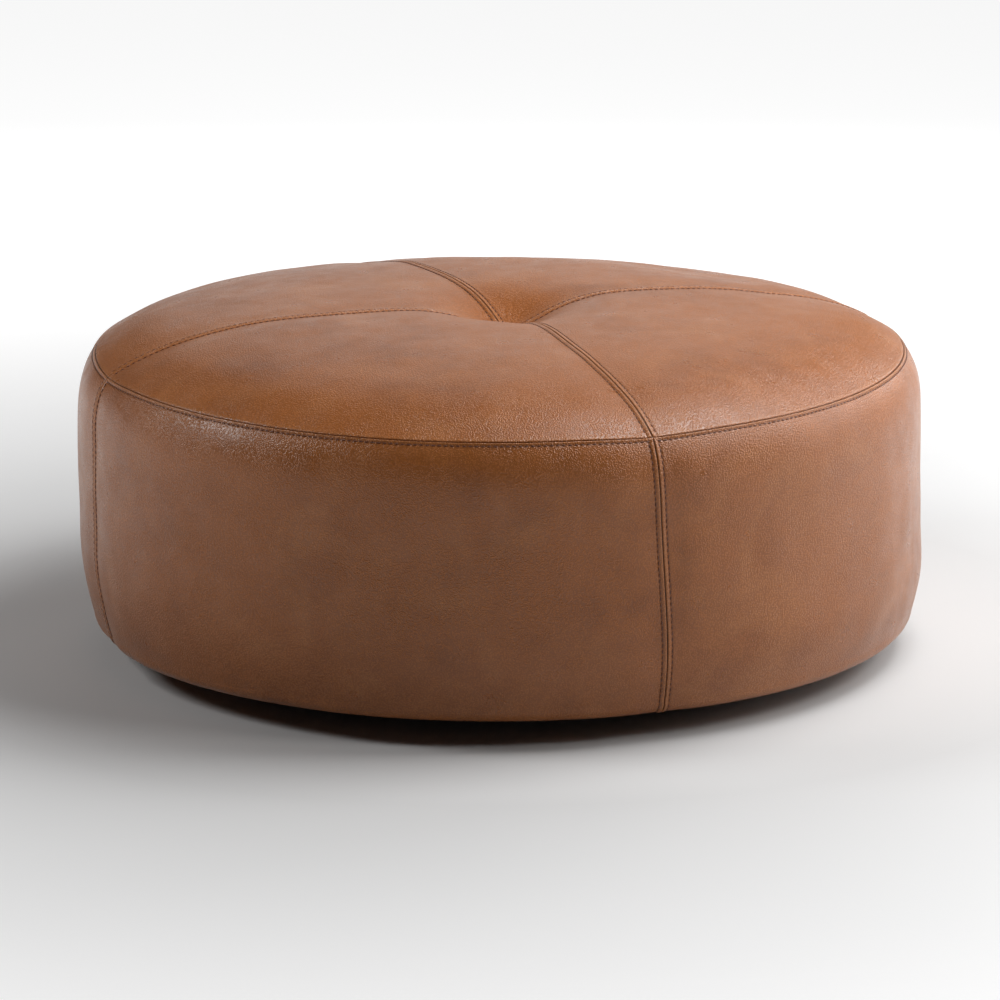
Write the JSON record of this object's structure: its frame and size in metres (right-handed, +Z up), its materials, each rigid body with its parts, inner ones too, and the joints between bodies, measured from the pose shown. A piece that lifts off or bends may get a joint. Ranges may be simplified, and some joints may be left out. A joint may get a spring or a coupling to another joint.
{
  "type": "leather ottoman pouf",
  "caption": "Low round leather ottoman with a shallow domed top pulled down in the middle, double-stitched seams and short hidden feet.",
  "frame": {"origin": "on the floor, under the middle of the ottoman", "axes": "+Z up along the axis of the round body; the top and side seams lie on X and Y"},
  "size_m": [0.9144, 0.9144, 0.3758],
  "materials": {
    "leather": "semi-gloss pebbled, cognac brown",
    "padding": "soft open foam and fibre batting",
    "webbing": "coarse woven",
    "wood": "raw sawn",
    "cambric": "thin matt nonwoven",
    "black_plastic": "fine satin",
    "steel": "zinc plated"
  },
  "bodies": {
    "root": {"base_ring": "wood", "base_screw_1": "steel", "base_screw_2": "steel", "base_screw_3": "steel", "base_screw_4": "steel", "base_screw_5": "steel", "base_screw_6": "steel", "cross_strap_1": "webbing", "cross_strap_2": "webbing", "cross_strap_3": "webbing", "cross_strap_4": "webbing", "deck_ring": "wood", "deck_screw_1": "steel", "deck_screw_2": "steel", "deck_screw_3": "steel", "deck_screw_4": "steel", "deck_screw_5": "steel", "deck_screw_6": "steel", "dust_cover": "cambric", "foot_1": "black_plastic", "foot_2": "black_plastic", "foot_3": "black_plastic", "foot_4": "black_plastic", "foot_5": "black_plastic", "foot_6": "black_plastic", "foot_screw_1": "steel", "foot_screw_2": "steel", "foot_screw_3": "steel", "foot_screw_4": "steel", "foot_screw_5": "steel", "foot_screw_6": "steel", "long_strap_1": "webbing", "long_strap_2": "webbing", "long_strap_3": "webbing", "long_strap_4": "webbing", "post_1": "wood", "post_2": "wood", "post_3": "wood", "post_4": "wood", "post_5": "wood", "post_6": "wood", "pull_tab": "webbing", "seat_foam": "padding", "side_batting": "padding", "side_foam": "padding", "side_panel_1": "leather", "side_panel_2": "leather", "side_panel_3": "leather", "side_panel_4": "leather", "skirt_1": "wood", "skirt_2": "wood", "top_batting": "padding", "top_panel_1": "leather", "top_panel_2": "leather", "top_panel_3": "leather", "top_panel_4": "leather", "tuft_batten": "wood", "tufting_twine": "webbing"}
  },
  "joints": []
}
